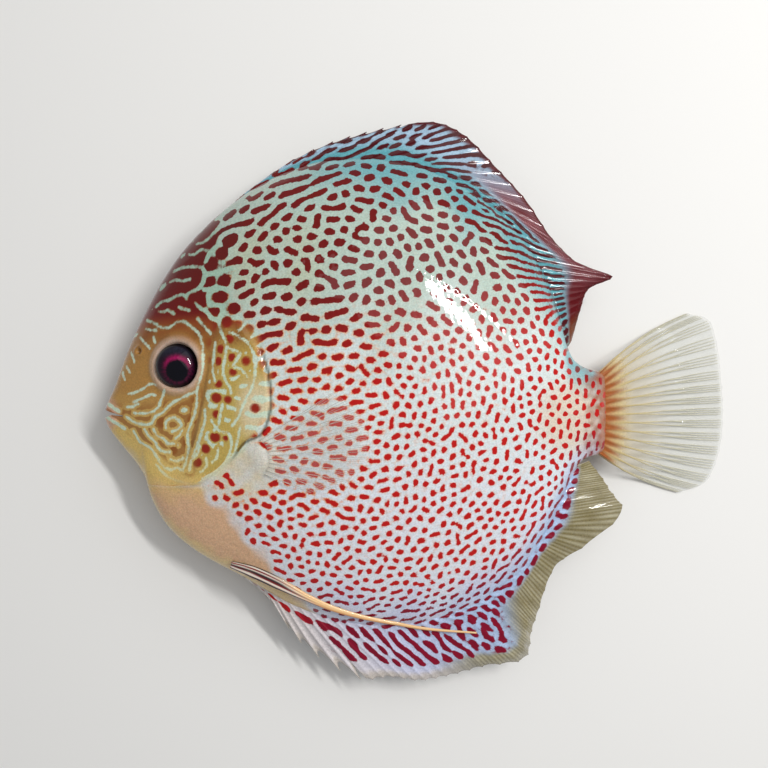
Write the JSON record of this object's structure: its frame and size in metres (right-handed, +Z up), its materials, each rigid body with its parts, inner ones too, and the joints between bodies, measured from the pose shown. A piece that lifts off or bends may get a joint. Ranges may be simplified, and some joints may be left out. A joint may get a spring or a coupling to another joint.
{
  "type": "discus fish, still life-size model",
  "caption": "Disc-shaped freshwater fish lying still on its right side, with spread fins, a drooped tail and a raised left pectoral fin.",
  "frame": {"origin": "on the floor, under the middle of the fish's box as it lies on its right side", "axes": "+Z up, out of the fish's left side; -X towards the snout, +X towards the tail; +Y towards the back fin"},
  "size_m": [0.1442, 0.128, 0.028],
  "materials": {
    "body_skin": "wet, slimy fish skin with fine scales: pale mint grey with dense dark-red spots",
    "head_skin": "wet, smooth skin: orange-brown with pale mint lines and red dots",
    "eye": "clear wet cornea over a dark pupil and a plum-red iris",
    "dorsal_fin": "wet membrane over rays: pale blue with dark maroon streaks and a dark red edge",
    "anal_fin": "wet membrane over rays: lavender blue with crimson streaks, olive and clear at the rear",
    "clear_fin": "nearly clear wet membrane over whitish rays",
    "pelvic_fin": "orange-cream rays with a streaked dark-red and white web"
  },
  "bodies": {
    "root": {"head": "head_skin", "trunk": "body_skin", "tail_stalk": "body_skin", "gill_cover_left": "head_skin", "gill_cover_right": "head_skin", "eye_left": "eye", "eye_right": "eye", "dorsal_fin": "dorsal_fin", "anal_fin": "anal_fin", "caudal_fin": "clear_fin", "pectoral_fin_left": "clear_fin", "pectoral_fin_right": "clear_fin", "pelvic_fin_left": "pelvic_fin", "pelvic_fin_right": "pelvic_fin"}
  },
  "joints": []
}
